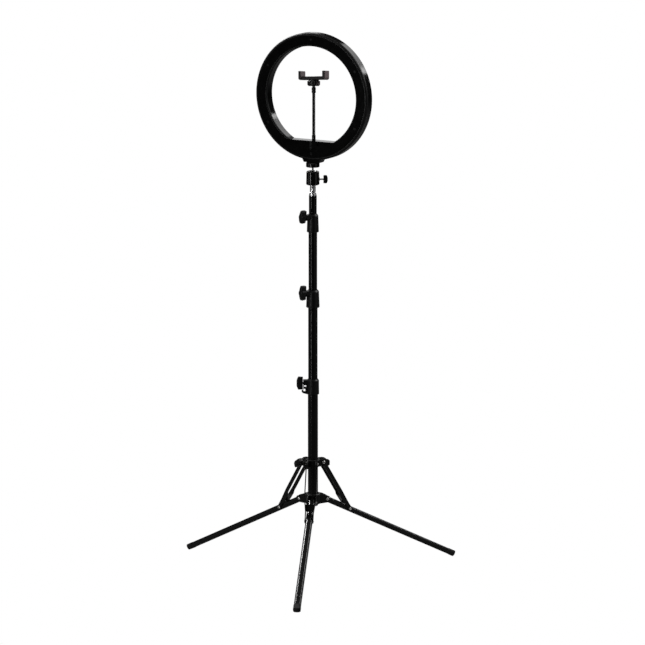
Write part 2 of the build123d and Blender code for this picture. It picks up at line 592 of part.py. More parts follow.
def jaw_outline(end_x, sign):
    """The side view of a jaw: a plate with its lower outer corner cut away."""
    inner = end_x - sign * JAW_THICK
    return [(inner, SLEEVE_Z), (end_x - sign * 4.6, SLEEVE_Z), (end_x - sign * 2.4, SLEEVE_Z + 0.6),
            (end_x - sign * 0.8, SLEEVE_Z + 2.2), (end_x, SLEEVE_Z + 4.6), (end_x, JAW_TOP_Z - 0.6),
            (end_x - sign * 0.6, JAW_TOP_Z), (inner, JAW_TOP_Z)]


def jaw(end_x, sign):
    body = plate(jaw_outline(end_x, sign), -JAW_HALF_DEPTH, JAW_HALF_DEPTH)
    return fillet(body.edges().filter_by(Axis.Z), 1.0)


def holder_body():
    """The ball socket, the sleeve across it and the fixed jaw."""
    end = JAW_END_X - JAW_THICK
    half = SLEEVE_HALF_DEPTH
    sleeve = block((-end + 0.3, end + 1), (-half, half), (SLEEVE_Z, SLEEVE_TOP_Z))
    sleeve = fillet(sleeve.edges().filter_by(Axis.X), 1.2)
    skirt = rod(9.5, LOCK_NUT_Z + 1.6, LOCK_NUT_TOP_Z + 0.3)
    collar_ring = rod(10.7, LOCK_NUT_TOP_Z + 0.3, SLEEVE_Z + 1)
    body = sleeve + jaw(JAW_END_X, 1) + skirt + collar_ring
    body = body - Pos(0, 0, HOLDER_BALL_Z) * Sphere(HOLDER_BALL_R + RUN_GAP)
    body = body - rod(5.2, LOCK_NUT_Z, HOLDER_BALL_Z)
    tunnel = block((-end, end - 2), (-5.6, 5.6), (SLEEVE_Z + 1.6, SLEEVE_TOP_Z - 1.6))
    stop = block((-end + 0.3, -end + JAW_STOP), (-2.0, 2.0), (SLEEVE_Z + 1, SLEEVE_TOP_Z - 1))
    return leaning(body - tunnel + stop)


def sliding_jaw():
    """The sliding jaw, with two rails inside the sleeve and a crossbar that meets its stop."""
    z = (SLEEVE_Z + 2.0, SLEEVE_TOP_Z - 2.0)
    root = -JAW_END_X + JAW_THICK
    body = jaw(-JAW_END_X, -1)
    for side in (-1, 1):
        rail = sorted((side * 2.5, side * 5.2))
        body = body + block((root - 1, 19.5), rail, z)
    return leaning(body + block((CROSSBAR_X, CROSSBAR_X + 2), (-3, 3), z))


def jaw_pad(end_x, sign):
    """A ribbed rubber pad on the gripping face."""
    inner = end_x - sign * JAW_THICK
    x = sorted((inner, inner - sign * JAW_PAD))
    pad = block(x, (-JAW_HALF_DEPTH + 1, JAW_HALF_DEPTH - 1), (SLEEVE_TOP_Z + 0.4, JAW_TOP_Z - 0.8))
    ribs = sorted((inner - sign * 0.6, inner - sign * (JAW_PAD + 1)))
    for n in range(4):
        z = SLEEVE_TOP_Z + 2.4 + 2.0 * n
        pad = pad - block(ribs, (-JAW_HALF_DEPTH, JAW_HALF_DEPTH), (z, z + 0.7))
    return leaning(pad)


# ---------------------------------------------------------------- the assembly
def build():
    nodes = {}
    nodes["base_tube"] = tube(BASE_R, BASE_WALL, BASE_FOOT_Z, tube_top_z(BASE_COLLAR))
    nodes["base_plug"] = base_plug()
    nodes["base_collar"] = base_collar()
    nodes["lower_tube"] = tube(LOWER_R, LOWER_WALL, LOWER_FOOT_Z, tube_top_z(LOWER_COLLAR))
    nodes["lower_glide"] = bored_tube_foot(LOWER_R, LOWER_WALL, LOWER_FOOT_Z)
    nodes["lower_collar"] = collar(LOWER_COLLAR, LOWER_R, MIDDLE_R)
    nodes["middle_tube"] = tube(MIDDLE_R, MIDDLE_WALL, MIDDLE_FOOT_Z, tube_top_z(UPPER_COLLAR))
    nodes["middle_glide"] = bored_tube_foot(MIDDLE_R, MIDDLE_WALL, MIDDLE_FOOT_Z)
    nodes["upper_collar"] = collar(UPPER_COLLAR, MIDDLE_R, TOP_R)
    nodes["top_tube"] = tube(TOP_R, TOP_WALL, TOP_FOOT_Z, TOP_TUBE_TOP_Z)
    nodes["top_glide"] = bored_tube_foot(TOP_R, TOP_WALL, TOP_FOOT_Z)
    for name, dims, slide_r, size in (("base", BASE_COLLAR, LOWER_R, BASE_KNOB),
                                      ("lower", LOWER_COLLAR, MIDDLE_R, LOWER_KNOB),
                                      ("upper", UPPER_COLLAR, TOP_R, UPPER_KNOB)):
        knob, screw = placed_knob(dims[4], dims[5], dims[6] + KNOB_GAP, slide_r + 0.4, *size)
        nodes[name + "_knob"] = knob
        nodes[name + "_knob_screw"] = screw

    nodes["lower_spider"] = lower_spider()
    nodes["leg_pivot_rivets"] = leg_pivot_rivets()
    nodes["upper_spider"] = upper_spider()
    knob, screw = placed_knob(SPIDER_KNOB_AZIMUTH, SPIDER_KNOB_Z, SPIDER_BOSS_END_R + KNOB_GAP,
                              BASE_R + 0.4, SPIDER_KNOB_HALF, SPIDER_KNOB_TURN)
    nodes["spider_knob"] = knob
    nodes["spider_knob_screw"] = screw
    leg_set = {"leg": leg(), "foot_cap": foot_cap(), "strut": strut(),
               "strut_rivets": strut_rivets()}
    for letter, azimuth in LEG_AZIMUTHS.items():
        for name, shape in leg_set.items():
            parts = shape if isinstance(shape, list) else [shape]
            nodes[name + "_" + letter] = [Rot(0, 0, azimuth) * part for part in parts]

    nodes["stud"] = stud()
    nodes["ball_housing"] = ball_housing()
    nodes["ball_platform"] = ball_platform()
    nodes["platform_pad"] = platform_pad()
    nodes["camera_screw"] = camera_screw()
    knob, screw = wing_knob(BALL_KNOB_LENGTH, BALL_KNOB_HALF, BALL_KNOB_HALF_WIDTH, BALL_KNOB_HUB_R,
                            BALL_SCREW_R, BALL_KNOB_FACE_R - BALL_R - 0.4)
    place = Rot(0, 0, BALL_KNOB_AZIMUTH) * Pos(BALL_KNOB_FACE_R, 0, BALL_KNOB_Z)
    nodes["ball_knob"] = place * knob
    nodes["ball_knob_screw"] = place * screw

    nodes["ring_housing"] = ring_housing()
    nodes["diffuser"] = diffuser()
    nodes["sill_cover"] = sill_cover()
    nodes["light_board"] = light_board()
    nodes["lights"] = lights()
    nodes["housing_screws"] = housing_screws()
    nodes["mount_insert"] = mount_insert()
    nodes["power_socket"] = power_socket()

    nodes["gooseneck_root"] = gooseneck_root()
    nodes["gooseneck_low"] = gooseneck_link(1)
    nodes["gooseneck_mid"] = gooseneck_link(2)
    nodes["gooseneck_tip"] = gooseneck_tip()
    nodes["holder_ball"] = holder_ball()
    nodes["lock_nut"] = lock_nut()
    nodes["holder_body"] = holder_body()
    nodes["sliding_jaw"] = sliding_jaw()
    nodes["fixed_jaw_pad"] = jaw_pad(JAW_END_X, 1)
    nodes["sliding_jaw_pad"] = jaw_pad(-JAW_END_X, -1)
    return nodes


os.makedirs("parts", exist_ok=True)
for node_name, node_shape in build().items():
    solids = node_shape if isinstance(node_shape, list) else [node_shape]
    group = solids[0] if len(solids) == 1 else Compound(children=solids)
    export_step(group, "parts/" + node_name + ".step")
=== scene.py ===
import json
import math

import bpy
from mathutils import Matrix, Vector


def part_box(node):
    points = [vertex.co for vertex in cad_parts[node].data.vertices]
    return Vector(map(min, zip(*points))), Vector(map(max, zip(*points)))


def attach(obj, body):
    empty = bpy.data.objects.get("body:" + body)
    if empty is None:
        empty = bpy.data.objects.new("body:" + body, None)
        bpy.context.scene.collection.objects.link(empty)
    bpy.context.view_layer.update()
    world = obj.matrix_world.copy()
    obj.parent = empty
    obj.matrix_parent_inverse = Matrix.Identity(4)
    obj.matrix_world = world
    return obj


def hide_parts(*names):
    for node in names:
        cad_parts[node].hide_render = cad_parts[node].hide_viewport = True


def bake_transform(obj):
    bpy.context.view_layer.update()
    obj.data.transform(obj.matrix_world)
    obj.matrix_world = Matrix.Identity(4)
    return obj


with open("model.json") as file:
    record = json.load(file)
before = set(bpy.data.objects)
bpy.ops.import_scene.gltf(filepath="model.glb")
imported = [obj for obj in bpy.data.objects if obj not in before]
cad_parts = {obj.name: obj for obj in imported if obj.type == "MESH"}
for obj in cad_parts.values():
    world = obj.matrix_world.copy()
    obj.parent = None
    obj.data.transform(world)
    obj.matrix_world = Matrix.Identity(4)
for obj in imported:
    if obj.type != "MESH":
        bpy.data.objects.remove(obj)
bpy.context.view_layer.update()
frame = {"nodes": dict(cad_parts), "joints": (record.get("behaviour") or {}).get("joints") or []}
NODES = frame["nodes"]
JOINTS = {joint["name"]: joint for joint in frame["joints"]}
MM = 0.001


# ---------------------------------------------------------------- camera, floor and light
CAMERA_DISTANCE = 8.078  # across the floor, from the column, in metres
CAMERA_HEIGHT = 2.122
CAMERA_AZIMUTH = math.radians(119.4)
CAMERA_LENS, CAMERA_SENSOR = 224.1, 36
CAMERA_DOWN = math.radians(11.17)
CAMERA_PAN = math.radians(-0.140)
ROOM = 0.02  # how bright the room is round the object, where white is 1
FLOOR_GREY = 0.16  # what the object sees of the floor
FLOOR_REACH = 30
# direction in degrees, distance and height in metres, width and height, watts, height aimed at
LIGHTS = {"far_wall": (262, 3.2, 2.7, (1.5, 1.0), 9, 0.7),
          "left_strip": (78, 1.6, 1.0, (0.08, 2.1), 8, 0.7),
          "left_wall": (42, 3.0, 1.0, (1.2, 2.4), 4, 0.7),
          "right_wall": (178, 3.0, 1.0, (1.2, 2.4), 3, 0.7),
          "right_box": (212, 2.4, 2.5, (0.9, 1.4), 45, 0.7),
          "behind": (299, 3.0, 1.5, (0.9, 0.5), 1.6, 0.7),
          "leg_left": (336, 2.1, 2.5, (0.22, 1.0), 60, 0.1),
          "leg_right": (245, 5.5, 3.4, (0.44, 1.7), 20, 0.1),
          "top": (150, 0.6, 3.4, (2.5, 2.5), 6, 0.7)}


def make_camera():
    """The photo's camera, which looks down a little at the column."""
    data = bpy.data.cameras.new("camera")
    data.lens, data.sensor_width = CAMERA_LENS, CAMERA_SENSOR
    camera = bpy.data.objects.new("camera", data)
    bpy.context.scene.collection.objects.link(camera)
    camera.location = (CAMERA_DISTANCE * math.cos(CAMERA_AZIMUTH),
                       CAMERA_DISTANCE * math.sin(CAMERA_AZIMUTH), CAMERA_HEIGHT)
    turn = CAMERA_AZIMUTH + math.pi / 2 + CAMERA_PAN
    camera.rotation_euler = (math.pi / 2 - CAMERA_DOWN, 0, turn)
    bpy.context.scene.camera = camera


def white_for_camera(tree, own, white, end):
    """Ends a node tree with a mix: the camera sees the white shader, every other ray the tree's own."""
    path, mix = tree.nodes.new("ShaderNodeLightPath"), tree.nodes.new("ShaderNodeMixShader")
    tree.links.new(path.outputs["Is Camera Ray"], mix.inputs["Fac"])
    tree.links.new(own.outputs[0], mix.inputs[1])
    tree.links.new(white.outputs[0], mix.inputs[2])
    tree.links.new(mix.outputs[0], end.inputs["Surface"])


def make_floor():
    """A pale floor that shows as plain white, and that the object mirrors as grey."""
    mesh = bpy.data.meshes.new("floor")
    corners = [(-1, -1), (1, -1), (1, 1), (-1, 1)]
    mesh.from_pydata([(FLOOR_REACH * x, FLOOR_REACH * y, 0) for x, y in corners], [], [(0, 1, 2, 3)])
    floor = bpy.data.objects.new("floor", mesh)
    bpy.context.scene.collection.objects.link(floor)
    material = bpy.data.materials.new("floor")
    material.use_nodes = True
    nodes = material.node_tree.nodes
    shader = nodes["Principled BSDF"]
    shader.inputs["Base Color"].default_value = (FLOOR_GREY, FLOOR_GREY, FLOOR_GREY, 1)
    shader.inputs["Roughness"].default_value = 0.9
    shader.inputs["Specular IOR Level"].default_value = 0.0
    white = nodes.new("ShaderNodeEmission")
    white_for_camera(material.node_tree, shader, white, nodes["Material Output"])
    mesh.materials.append(material)


def area_light(name, azimuth, distance, height, size, power, aim):
    """A soft rectangular light, aimed at a height on the column."""
    data = bpy.data.lights.new(name, "AREA")
    data.shape, data.size, data.size_y, data.energy = "RECTANGLE", size[0], size[1], power
    lamp = bpy.data.objects.new(name, data)
    bpy.context.scene.collection.objects.link(lamp)
    angle = math.radians(azimuth)
    lamp.location = (distance * math.cos(angle), distance * math.sin(angle), height)
    lamp.rotation_euler = (Vector((0, 0, aim)) - lamp.location).to_track_quat("-Z", "Y").to_euler()


def make_light():
    """A white studio: the camera sees white, and the object mirrors a dim room and its soft boxes."""
    world = bpy.data.worlds.new("studio")
    bpy.context.scene.world = world
    world.use_nodes = True
    nodes = world.node_tree.nodes
    nodes["Background"].inputs["Color"].default_value = (ROOM, ROOM, ROOM, 1)
    white = nodes.new("ShaderNodeBackground")
    white.inputs["Color"].default_value = (1, 1, 1, 1)
    white_for_camera(world.node_tree, nodes["Background"], white, nodes["World Output"])
    for name, numbers in LIGHTS.items():
        area_light(name, *numbers)
    bpy.context.scene.view_settings.view_transform = "Standard"


# ---------------------------------------------------------------- materials
class Surface:
    """A procedural material under construction. Its textures run in metres of the object's frame."""

    def __init__(self, name, metallic=0.0, specular=0.5):
        self.material = bpy.data.materials.new(name)
        self.material.use_nodes = True
        self.nodes = self.material.node_tree.nodes
        self.links = self.material.node_tree.links
        self.shader = self.nodes["Principled BSDF"]
        self.shader.inputs["Metallic"].default_value = metallic
        self.shader.inputs["Specular IOR Level"].default_value = specular
        self.height = None

    def place(self, stretch):
        """Texture coordinates, stretched by a scale for each axis."""
        coordinates = self.nodes.new("ShaderNodeTexCoord")
        mapping = self.nodes.new("ShaderNodeMapping")
        mapping.inputs["Scale"].default_value = stretch
        self.links.new(coordinates.outputs["Object"], mapping.inputs["Vector"])
        return mapping.outputs["Vector"]

    def facing(self, axis):
        """How far a face looks along the object's own axis, from -1 to 1."""
        split = self.nodes.new("ShaderNodeSeparateXYZ")
        coordinates = self.nodes.new("ShaderNodeTexCoord")
        self.links.new(coordinates.outputs["Normal"], split.inputs["Vector"])
        return split.outputs[axis]

    def noise(self, size, detail=2.0, stretch=(1, 1, 1)):
        """Smooth noise from 0 to 1, its blotches about size metres wide."""
        texture = self.nodes.new("ShaderNodeTexNoise")
        texture.inputs["Scale"].default_value = 1 / size
        texture.inputs["Detail"].default_value = detail
        self.links.new(self.place(stretch), texture.inputs["Vector"])
        return texture.outputs["Fac"]

    def cells(self, size):
        """Distance from the middles of cells about size metres wide."""
        texture = self.nodes.new("ShaderNodeTexVoronoi")
        texture.inputs["Scale"].default_value = 1 / size
        self.links.new(self.place((1, 1, 1)), texture.inputs["Vector"])
        return texture.outputs["Distance"]

    def bands(self, size, axis, distortion):
        """Ridges across an axis, one every size metres."""
        texture = self.nodes.new("ShaderNodeTexWave")
        texture.bands_direction = axis
        texture.inputs["Scale"].default_value = math.pi / (10 * size)
        texture.inputs["Distortion"].default_value = distortion
        self.links.new(self.place((1, 1, 1)), texture.inputs["Vector"])
        return texture.outputs["Fac"]

    def ranged(self, value, low, high, start=0.3, end=0.7):
        """A value mapped so that start gives low and end gives high, and held there beyond them."""
        ranging = self.nodes.new("ShaderNodeMapRange")
        for key, number in (("From Min", start), ("From Max", end), ("To Min", low), ("To Max", high)):
            ranging.inputs[key].default_value = number
        self.links.new(value, ranging.inputs["Value"])
        return ranging.outputs["Result"]

    def math(self, operation, first, second):
        """A sum or product of a socket and another socket or a number."""
        node = self.nodes.new("ShaderNodeMath")
        node.operation = operation
        self.links.new(first, node.inputs[0])
        if isinstance(second, float):
            node.inputs[1].default_value = second
        else:
            self.links.new(second, node.inputs[1])
        return node.outputs["Value"]

    def color_between(self, factor, first, second):
        """Lets the colour run from one to another as the factor goes from 0 to 1."""
        mix = self.nodes.new("ShaderNodeMix")
        mix.data_type = "RGBA"
        mix.inputs["A"].default_value = (*first, 1)
        mix.inputs["B"].default_value = (*second, 1)
        self.links.new(factor, mix.inputs["Factor"])
        self.links.new(mix.outputs["Result"], self.shader.inputs["Base Color"])
        return self

    def roughness(self, factor, low, high):
        """Lets the roughness run between two values with smooth noise."""
        self.links.new(self.ranged(factor, low, high), self.shader.inputs["Roughness"])
        return self

    def bump(self, height, strength, depth):
        """Adds relief of the given depth in metres on top of what is there."""
        node = self.nodes.new("ShaderNodeBump")
        node.inputs["Strength"].default_value = strength
        node.inputs["Distance"].default_value = depth
        self.links.new(height, node.inputs["Height"])
        if self.height:
            self.links.new(self.height, node.inputs["Normal"])
        self.height = node.outputs["Normal"]
        self.links.new(self.height, self.shader.inputs["Normal"])
        return self


def anodised_tube():
    """Drawn tube, black anodised: faint lengthwise draw lines under an even satin."""
    s = Surface("anodised_tube", specular=0.25)
    s.color_between(s.ranged(s.noise(0.03), 0, 1), (0.003, 0.003, 0.003), (0.005, 0.005, 0.005))
    s.roughness(s.noise(0.004, 3, (1, 1, 0.15)), 0.15, 0.17)
    draw_lines = s.noise(0.0006, 2, (1, 1, 0.01))
    return s.bump(draw_lines, 0.03, 0.00003).material


def powder_coat():
    """Black powder coat with a fine orange peel."""
    s = Surface("powder_coat", specular=0.4)
    s.color_between(s.ranged(s.noise(0.02, 4), 0, 1), (0.003, 0.003, 0.003), (0.006, 0.006, 0.006))
    s.roughness(s.noise(0.006, 3), 0.2, 0.25)
    return s.bump(s.noise(0.0012, 2), 0.08, 0.00004).material


def moulded_nylon():
    """Black nylon with a fine moulded grain and faint flow lines."""
    s = Surface("moulded_nylon", specular=0.28)
    s.color_between(s.ranged(s.noise(0.012, 3), 0, 1), (0.003, 0.003, 0.003), (0.006, 0.006, 0.006))
    s.roughness(s.noise(0.003, 3), 0.34, 0.44)
    s.bump(s.cells(0.0005), 0.25, 0.00005)
    return s.bump(s.noise(0.006, 2, (1, 1, 0.4)), 0.1, 0.0001).material


def housing_plastic():
    """Smooth black ABS: polished faces with hairline scratches, and a satin round between rear and rim."""
    s = Surface("housing_plastic", specular=0.3)
    s.color_between(s.ranged(s.noise(0.05, 4), 0, 1), (0.002, 0.002, 0.002), (0.004, 0.004, 0.004))
    off_rear = s.ranged(s.facing("Y"), 1, 0, 0.992, 0.9995)
    off_rim = s.ranged(s.facing("Y"), 0, 1, 0.05, 0.3)
    edge = s.math("MULTIPLY", s.math("MULTIPLY", off_rear, off_rim), 0.4)
    polish = s.ranged(s.noise(0.012, 5), 0.12, 0.16)
    s.links.new(s.math("ADD", polish, edge), s.shader.inputs["Roughness"])
    s.bump(s.noise(0.0009, 2, (1, 1, 0.06)), 0.012, 0.00003)
    return s.bump(s.noise(0.03, 1), 0.02, 0.0003).material


def holder_plastic_painted_light():
    """Black ABS of the phone holder, satin, with a fine grain, and painted light: its faces that look along
    -X, across the jaws, are painted a pale pinkish grey as if lit from that side.
    """
    s = Surface("holder_plastic_painted_light", specular=0.4)
    # painted light: faces looking along -X get a pale colour that stands in for the light falling on that
    # side
    across = s.ranged(s.facing("X"), 1, 0, -0.95, -0.8)
    s.color_between(across, (0.006, 0.005, 0.005), (0.2, 0.16, 0.165))
    s.roughness(s.noise(0.004, 3), 0.3, 0.44)
    return s.bump(s.cells(0.0004), 0.15, 0.00004).material


def polished_metal(name, color, low, high, ring_axis=None):
    """Bright plated steel, with turning marks round its axis where it was turned."""
    s = Surface(name, metallic=1.0)
    s.color_between(s.ranged(s.noise(0.003, 3), 0, 1), color, tuple(0.86 * c for c in color))
    s.roughness(s.noise(0.0015, 3), low, high)
    if ring_axis:
        s.bump(s.bands(0.0003, ring_axis, 0.3), 0.08, 0.00002)
    return s.bump(s.noise(0.0008, 2), 0.02, 0.00002).material


def black_oxide():
    """Blackened steel of the small screws."""
    s = Surface("black_oxide", specular=0.3)
    s.color_between(s.ranged(s.noise(0.002, 3), 0, 1), (0.003, 0.003, 0.003), (0.007, 0.007, 0.007))
    s.roughness(s.noise(0.001, 3), 0.22, 0.32)
    return s.bump(s.noise(0.0005, 2), 0.1, 0.00003).material


def anodised_head():
    """Turned black aluminium of the ball head, satin."""
    s = Surface("anodised_head", specular=0.45)
    s.color_between(s.ranged(s.noise(0.01, 3), 0, 1), (0.003, 0.003, 0.003), (0.006, 0.006, 0.006))
    s.roughness(s.noise(0.003, 3), 0.13, 0.15)
    return s.bump(s.noise(0.004, 2), 0.01, 0.00003).material


def soft_rubber():
    """Black rubber of the feet and the platform's pad, matt."""
    s = Surface("soft_rubber", specular=0.3)
    s.color_between(s.ranged(s.noise(0.006, 5), 0, 1), (0.008, 0.008, 0.008), (0.022, 0.021, 0.02))
    s.roughness(s.noise(0.002, 4), 0.62, 0.85)
    return s.bump(s.noise(0.0007, 3), 0.3, 0.00008).material


def grip_rubber():
    """Grey rubber of the jaw pads, with a matt skin."""
    s = Surface("grip_rubber", specular=0.3)
    s.color_between(s.ranged(s.noise(0.004, 4), 0, 1), (0.17, 0.14, 0.145), (0.23, 0.19, 0.195))
    s.roughness(s.noise(0.002, 4), 0.6, 0.8)
    return s.bump(s.noise(0.0007, 3), 0.2, 0.00006).material


def glide_acetal():
    """Dark acetal of the bushes inside the tubes."""
    s = Surface("glide_acetal")
    s.color_between(s.ranged(s.noise(0.004, 3), 0, 1), (0.014, 0.014, 0.014), (0.028, 0.028, 0.028))
    s.roughness(s.noise(0.002, 3), 0.32, 0.5)
    return s.bump(s.noise(0.001, 2), 0.1, 0.00004).material


def milky_diffuser():
    """Opal acrylic: a soft white sheet with a satin face and some depth."""
    s = Surface("milky_diffuser")
    s.shader.inputs["Subsurface Weight"].default_value = 0.35
    s.shader.inputs["Subsurface Radius"].default_value = (0.004, 0.004, 0.0035)
    s.color_between(s.ranged(s.noise(0.02, 3), 0, 1), (0.88, 0.88, 0.86), (0.83, 0.83, 0.81))
    s.roughness(s.noise(0.004, 3), 0.3, 0.42)
    return s.bump(s.noise(0.0006, 2), 0.15, 0.00004).material


def white_board():
    """White solder mask over copper tracks that show as a faint relief."""
    s = Surface("white_board")
    tracks = s.ranged(s.cells(0.009), 0, 1, 0.28, 0.3)
    s.color_between(tracks, (0.74, 0.76, 0.72), (0.82, 0.83, 0.8))
    s.roughness(s.noise(0.003, 3), 0.24, 0.36)
    return s.bump(tracks, 0.4, 0.00004).material


def phosphor():
    """Yellow phosphor of the unlit diodes."""
    s = Surface("phosphor")
    s.color_between(s.ranged(s.noise(0.0008, 3), 0, 1), (0.88, 0.76, 0.25), (0.8, 0.64, 0.16))
    s.roughness(s.noise(0.0006, 2), 0.2, 0.4)
    return s.bump(s.noise(0.0005, 2), 0.2, 0.00005).material


# ---------------------------------------------------------------- pieces
def piece(name, points, faces, material, slot, replaced):
    """A smooth-shaded mesh object, standing for the CAD nodes named, if any."""
    mesh = bpy.data.meshes.new(name)
    mesh.from_pydata(points, [], faces)
    mesh.materials.append(material)
    mesh.shade_smooth()
    mesh.update()
    made = bpy.data.objects.new(name, mesh)
    bpy.context.scene.collection.objects.link(made)
    if replaced:
        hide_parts(*replaced)
    return made


def skin(rings):
    """Points and faces of a skin over rings of points, all with the same count, and closed at both ends."""
    count = len(rings[0])
    points = [point for ring in rings for point in ring]
    faces = []
    for row in range(len(rings) - 1):
        for n in range(count):
            after = (n + 1) % count
            faces.append((row * count + n, row * count + after,
                          (row + 1) * count + after, (row + 1) * count + n))
    faces.append(tuple(reversed(range(count))))
    last = (len(rings) - 1) * count
    faces.append(tuple(range(last, last + count)))
    return points, faces


def placed(points, matrix):
    """Points moved by a matrix."""
    return [tuple(matrix @ Vector(point)) for point in points]


def joint_frame(name):
    """The matrix that takes +X to a hinge's axis, with its origin on the hinge."""
    joint = JOINTS[name]
    axis = Vector(joint["axis"])
    return Matrix.Translation(joint["pos_m"]) @ axis.to_track_quat("X", "Z").to_matrix().to_4x4()


def seen_from(joint, node):
    """A CAD node's points in a hinge's frame, and the matrix that takes them back."""
    to_place = joint_frame(joint)
    inverse = to_place.inverted()
    return [inverse @ vertex.co for vertex in NODES[node].data.vertices], to_place


# ---------------------------------------------------------------- gooseneck
HOSE_RIB_R, HOSE_VALLEY_R = 3.25 * MM, 2.75 * MM
HOSE_PITCH = 1.9 * MM
HOSE_STEP = 0.19 * MM
HOSE_SIDES = 40
HOSE_TUCK = 1.5 * MM  # how far the hose runs into each ferrule
FERRULE_SIDES = 64


def hose(name, low, high, centre, material, replaced):
    """A length of ribbed hose, wound like the real one: its groove runs round as a helix."""
    rows = round((high - low) / HOSE_STEP)
    rings = []
    for row in range(rows + 1):
        z = low + (high - low) * row / rows
        ring = []
        for side in range(HOSE_SIDES):
            angle = 2 * math.pi * side / HOSE_SIDES
            phase = 2 * math.pi * z / HOSE_PITCH - angle
            swell = math.sqrt(max(0.0, 0.5 + 0.5 * math.cos(phase)))
            radius = HOSE_VALLEY_R + (HOSE_RIB_R - HOSE_VALLEY_R) * swell
            ring.append((centre[0] + radius * math.cos(angle),
                         centre[1] + radius * math.sin(angle), z))
        rings.append(ring)
    return piece(name, *skin(rings), material, "gooseneck", replaced)


def ferrule(name, profile, centre, material, node, body):
    """A turned cuff on a vertical axis, from (radius, height) points."""
    angles = [2 * math.pi * n / FERRULE_SIDES for n in range(FERRULE_SIDES)]
    rings = [[(centre[0] + radius * math.cos(a), centre[1] + radius * math.sin(a), z) for a in angles]
             for radius, z in profile]
    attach(piece(name, *skin(rings), material, "gooseneck", (node,)), body)


def make_gooseneck(material):
    """Ribbed hose in three straight lengths, each running over one hinge, between two smooth ferrules."""
    hinges = [Vector(JOINTS[n]["pos_m"]) for n in ("neck_bend_low", "neck_bend_side", "neck_bend_high")]
    centre = hinges[0].xy
    pitch = hinges[1].z - hinges[0].z
    foot = hinges[0].z - pitch
    top = hinges[2].z + pitch
    hidden = [(), ("gooseneck_low",), ("gooseneck_mid",)]
    for n, hinge in enumerate(hinges):
        low = foot - HOSE_TUCK if n == 0 else hinge.z - pitch / 2
        high = top + HOSE_TUCK if n == 2 else hinge.z + pitch / 2
        part = hose(f"hose_{n + 1}", low, high, centre, material, hidden[n])
        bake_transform(part)
    make_ferrules(centre, foot, top, material)


def make_ferrules(centre, foot, top, material):
    """The smooth cuffs at the hose's foot and top, the upper one with a waist."""
    low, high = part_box("gooseneck_root")
    radius = (high.x - low.x) / 2
    lower = [(radius, low.z), (radius, foot - 1.1 * MM), (radius - 0.25 * MM, foot - 0.4 * MM),
             (radius - 0.9 * MM, foot), (radius - 2 * MM, foot)]
    ferrule("ferrule_lower", lower, centre, material, "gooseneck_root", "ring")
    low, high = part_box("gooseneck_tip")
    radius = (high.x - low.x) / 2
    waist = radius - 0.35 * MM
    upper = [(radius - 2 * MM, top), (radius - 0.8 * MM, top), (radius - 0.15 * MM, top + 0.5 * MM),
             (radius, top + 1.2 * MM), (radius, top + 4.4 * MM), (waist, top + 4.9 * MM),
             (waist, top + 5.7 * MM), (radius, top + 6.2 * MM), (radius, high.z - 1 * MM),
             (radius - 0.3 * MM, high.z - 0.3 * MM), (radius - 1.0 * MM, high.z), (3.2 * MM, high.z)]
    ferrule("ferrule_upper", upper, centre, material, "gooseneck_tip", "neck_tip")


# ---------------------------------------------------------------- wing knobs
KNOB_SIDES = 96
KNOB_CORNER = 7.0  # how square the wings' section is
KNOB_BLEND = 8.0  # how tightly the wings run into the hub
KNOB_HUB = 6.2 / 15  # hub radius over wing half-height
KNOB_TIP = 0.8  # points beyond this share of the reach lie at the wings' tips


def knob_section(hub, half_width, half_height, angle):
    """Radius of a knob's section at an angle: two wings growing out of a round hub."""
    c, s = abs(math.cos(angle)) / half_width, abs(math.sin(angle)) / half_height
    wing = (c ** KNOB_CORNER + s ** KNOB_CORNER) ** (-1 / KNOB_CORNER)
    return (wing ** KNOB_BLEND + hub ** KNOB_BLEND) ** (1 / KNOB_BLEND)


# distance from the inner face, wing half-height, wing half-width and hub radius, as shares of the full ones
KNOB_STATIONS = [(0.00, 0.88, 0.78, 0.86), (0.006, 0.935, 0.88, 0.95), (0.03, 0.965, 0.96, 0.99),
                 (0.10, 0.975, 1.00, 1.0), (0.35, 0.985, 0.99, 1.0), (0.60, 0.995, 0.98, 1.0),
                 (0.70, 1.00, 0.97, 1.0), (0.74, 0.985, 0.96, 1.0), (0.78, 0.93, 0.95, 1.0),
                 (0.83, 0.82, 0.93, 1.0), (0.88, 0.71, 0.90, 0.99), (0.93, 0.59, 0.86, 0.95),
                 (0.97, 0.49, 0.78, 0.86), (0.99, 0.42, 0.66, 0.74), (1.0, 0.34, 0.50, 0.60)]


def wing_knob(name, joint, body, node, material, slot):
    """A moulded wing knob in place of its plain solid."""
    local, to_place = seen_from(joint, node)
    inner, outer = min(p.x for p in local), max(p.x for p in local)
    reach = max(p.yz.length for p in local)
    tips = [p.yz for p in local if p.yz.length > KNOB_TIP * reach]
    turn = 0.5 * math.atan2(sum(2 * t.x * t.y for t in tips), sum(t.x * t.x - t.y * t.y for t in tips))
    along, across = Vector((math.cos(turn), math.sin(turn))), Vector((-math.sin(turn), math.cos(turn)))
    height = max(abs(along.dot(t)) for t in tips)
    width = max(abs(across.dot(t)) for t in tips)
    hub = KNOB_HUB * height
    rings = []
    length = outer - inner
    for share, tall, wide, round_share in KNOB_STATIONS:
        ring = []
        for side in range(KNOB_SIDES):
            angle = 2 * math.pi * side / KNOB_SIDES
            radius = knob_section(hub * round_share, width * wide, height * tall, angle)
            y, z = radius * math.sin(angle), -radius * math.cos(angle)
            ring.append((inner + share * length, y * math.cos(turn) - z * math.sin(turn),
                         y * math.sin(turn) + z * math.cos(turn)))
        rings.append(placed(ring, to_place))
    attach(piece(name, *skin(rings), material, slot, (node,)), body)


# ---------------------------------------------------------------- screws
THREAD_SIDES = 36
THREAD_ROWS = 8  # rings of points for each turn
THREAD_CORE = 0.55  # radius of the closed end, over the shank's
THREAD_LAND = 1.25  # how flat the crests are, where 1 is sharp
